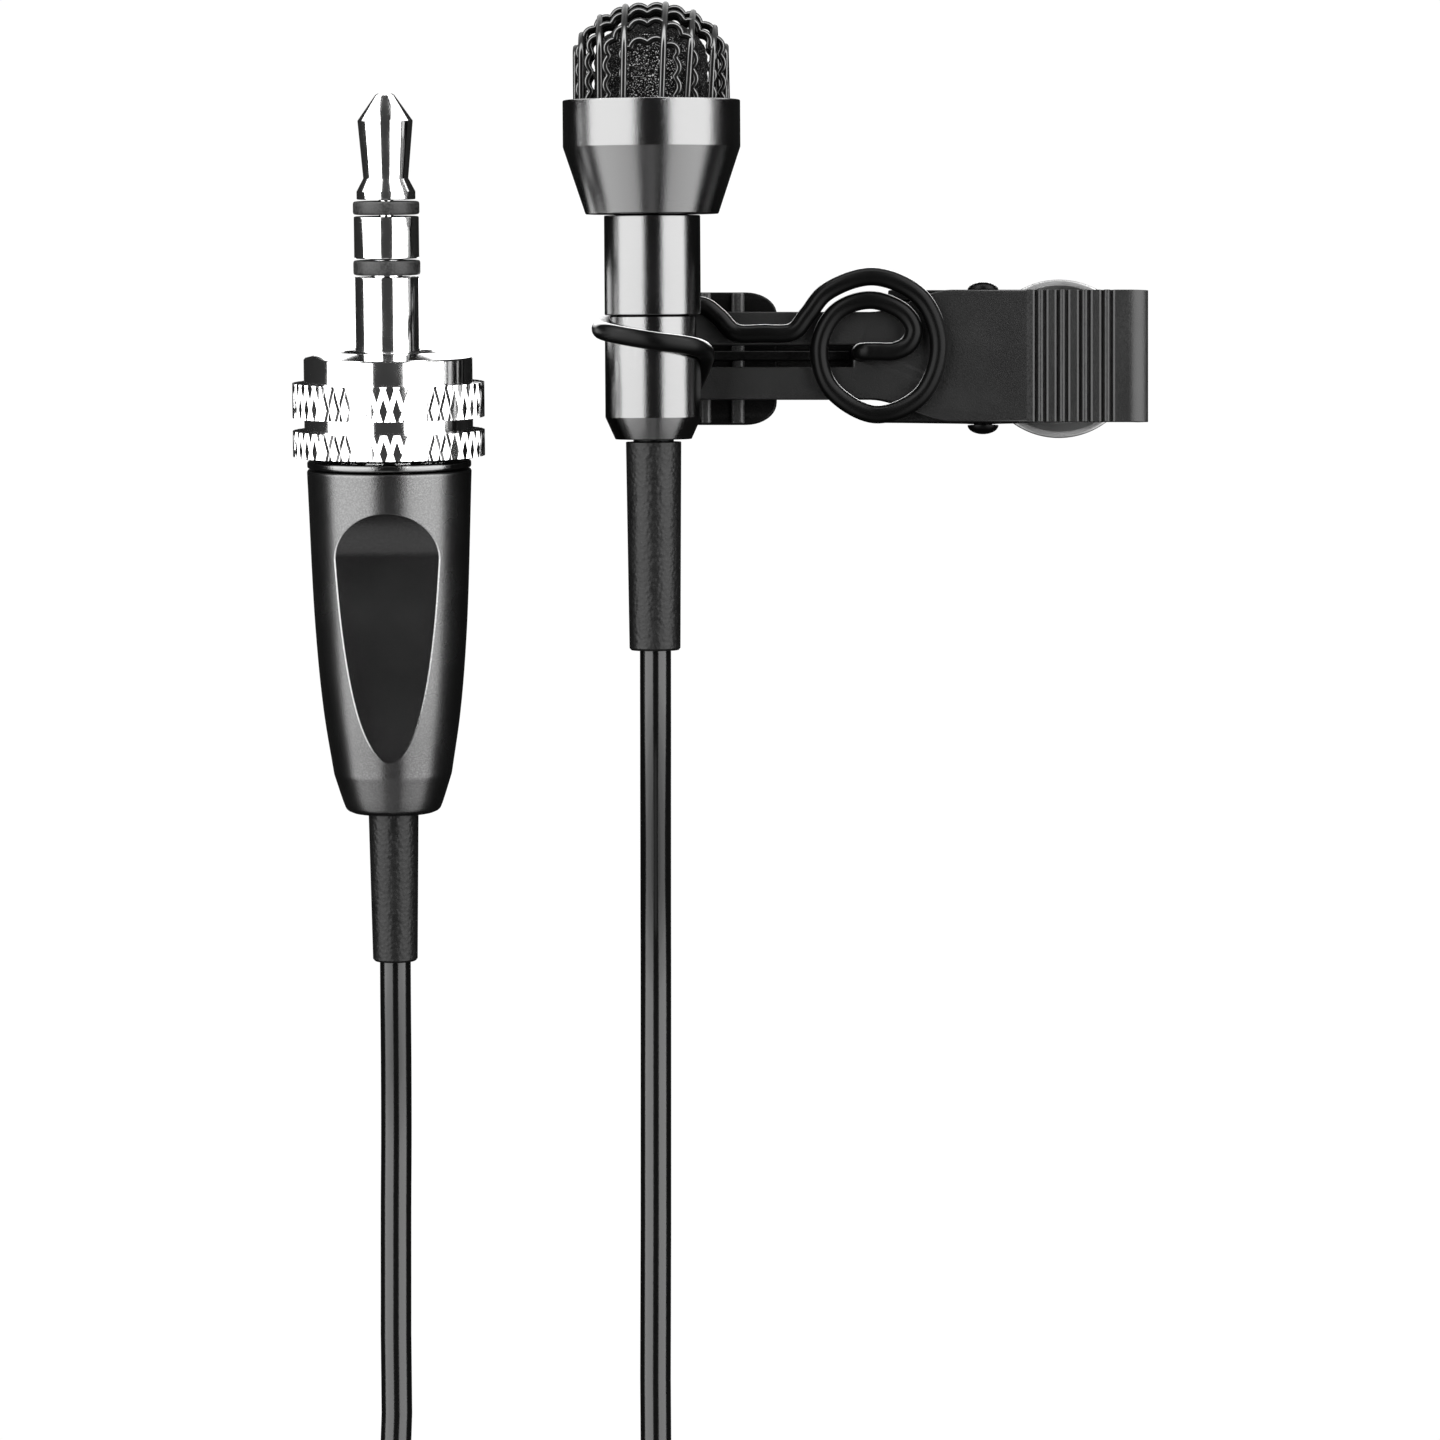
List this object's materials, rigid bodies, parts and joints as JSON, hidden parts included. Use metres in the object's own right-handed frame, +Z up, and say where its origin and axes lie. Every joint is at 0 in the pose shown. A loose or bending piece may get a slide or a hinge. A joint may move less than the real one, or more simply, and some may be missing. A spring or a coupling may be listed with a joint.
{
  "type": "lavalier microphone",
  "caption": "Clip-on microphone with a mesh dome, slim metal body, wire-held spring clip and a cable ending in a locking jack plug, laid flat.",
  "frame": {"origin": "on the underside of the clip's lower lever, on its centre line and below the swivel pin", "axes": "+Z up out of the surface that the part lies on, +Y towards the microphone's mesh head, +X along the clip towards its thumb plate"},
  "size_m": [0.0484, 0.1155, 0.0127],
  "materials": {
    "black_metal": "satin black plated and painted metal with fine grain",
    "mesh_wire": "glossy black coated wire",
    "clip_paint": "matte black painted spring steel",
    "wire_coat": "smooth black coated wire",
    "nickel": "polished nickel plate",
    "rubber": "matte black rubber with leathery grain",
    "cable_skin": "satin black cable jacket",
    "foam": "open-cell acoustic foam",
    "black_plastic": "matte moulded insulator",
    "brass": "plain turned brass",
    "copper": "tinned copper strand",
    "board": "solder-masked board",
    "spring_steel": "drawn spring wire"
  },
  "bodies": {
    "microphone": {"grille": "mesh_wire", "foam_windscreen": "foam", "head_cup": "black_metal", "capsule_felt": "foam", "electret_capsule": "nickel", "capsule_gasket": "rubber", "capsule_board": "board", "signal_lead": "copper", "ground_lead": "copper", "upper_barrel": "black_metal", "lower_barrel": "black_metal", "cable_crimp": "brass", "mic_strain_relief": "rubber", "cable_mic_run": "cable_skin", "cable_plug_run": "cable_skin", "cable_coil": "cable_skin", "cable_tie": "rubber", "tip_contact": "nickel", "tip_insulator": "black_plastic", "ring_contact": "nickel", "ring_insulator": "black_plastic", "sleeve_contact": "nickel", "retaining_collar": "black_metal", "grip_barrel": "black_metal", "terminal_block": "black_plastic", "plug_signal_lead": "copper", "plug_ground_lead": "copper", "plug_cable_clamp": "brass", "plug_strain_relief": "rubber"},
    "holder": {"wire_holder": "wire_coat"},
    "clip_upper": {"upper_lever": "clip_paint", "pivot_pin": "wire_coat", "torsion_spring": "spring_steel"},
    "clip_lower": {"lower_lever": "clip_paint", "thumb_pad": "nickel", "pad_rivet": "nickel"},
    "lock": {"locking_ring": "nickel"}
  },
  "joints": [
    {"name": "holder_turn", "type": "hinge", "parent": "microphone", "child": "holder", "pos_m": [-0.0114, 0.001, 0.007], "axis": [0.0061, -0.9975, -0.0698], "range_deg": [-60, 150]},
    {"name": "clip_swivel", "type": "hinge", "parent": "holder", "child": "clip_upper", "pos_m": [0, 0.00018, 0.003], "axis": [0, 0, 1], "range_deg": [-80, 80]},
    {"name": "clip_open", "type": "hinge", "parent": "clip_upper", "child": "clip_lower", "pos_m": [0.0068, 0, 0.0014], "axis": [0, -1, 0], "range_deg": [0, 11], "stiffness_Nm_per_rad": 0.02, "springref_deg": -28.65},
    {"name": "lock_turn", "type": "hinge", "parent": "microphone", "child": "lock", "pos_m": [-0.02584, -0.00419, 0.00548], "axis": [-0.0062, 0.9939, 0.1097], "continuous": true}
  ]
}
